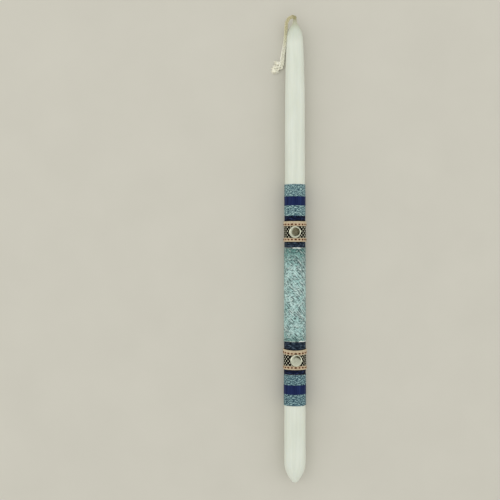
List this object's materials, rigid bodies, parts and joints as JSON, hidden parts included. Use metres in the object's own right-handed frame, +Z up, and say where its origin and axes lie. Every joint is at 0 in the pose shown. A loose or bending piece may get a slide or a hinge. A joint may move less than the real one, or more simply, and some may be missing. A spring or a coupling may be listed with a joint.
{
  "type": "easter candle",
  "caption": "Long white taper candle with a free wick, bands of linen and navy ribbon, a crinkled cloth wrap and leather-edged trims with domed studs.",
  "frame": {"origin": "middle of the candle's length, on the surface that it lies on, under its axis; the free wick isn't counted", "axes": "+Y along the candle from the butt end to the wick end, +Z up out of the studs, +X to the right seen from above with the wick end away"},
  "size_m": [0.0292, 0.4066, 0.0233],
  "materials": {
    "wax": "smooth white paraffin wax with a soft satin surface",
    "wick_cotton": "braided cotton, slightly yellowed with wax",
    "linen": "blue-grey chambray linen, plain weave",
    "navy_satin": "navy satin ribbon with a soft sheen",
    "navy_cloth": "dull navy ribbed cloth",
    "crinkled_gauze": "pale aqua crinkled cotton gauze with frayed edges",
    "checked_weave": "black and cream small check, laid on the bias",
    "tan_leather": "tan leather, fine grain, matt",
    "stitch_thread": "brown sewing thread",
    "nickel": "polished nickel"
  },
  "bodies": {
    "root": {"lower_linen_ribbon": "linen", "lower_navy_ribbon": "navy_cloth", "lower_satin_ribbon": "navy_satin", "lower_stud_cap": "nickel", "lower_stud_tack": "nickel", "lower_trim_butt_side_leather": "tan_leather", "lower_trim_butt_side_stitching": "stitch_thread", "lower_trim_wick_side_leather": "tan_leather", "lower_trim_wick_side_stitching": "stitch_thread", "lower_woven_ribbon": "checked_weave", "middle_wrap": "crinkled_gauze", "upper_linen_ribbon": "linen", "upper_navy_ribbon": "navy_cloth", "upper_satin_ribbon": "navy_satin", "upper_stud_cap": "nickel", "upper_stud_tack": "nickel", "upper_trim_butt_side_leather": "tan_leather", "upper_trim_butt_side_stitching": "stitch_thread", "upper_trim_wick_side_leather": "tan_leather", "upper_trim_wick_side_stitching": "stitch_thread", "upper_woven_ribbon": "checked_weave", "wax_body": "wax", "wick_core": "wick_cotton", "wick_tail": "wick_cotton"}
  },
  "joints": []
}
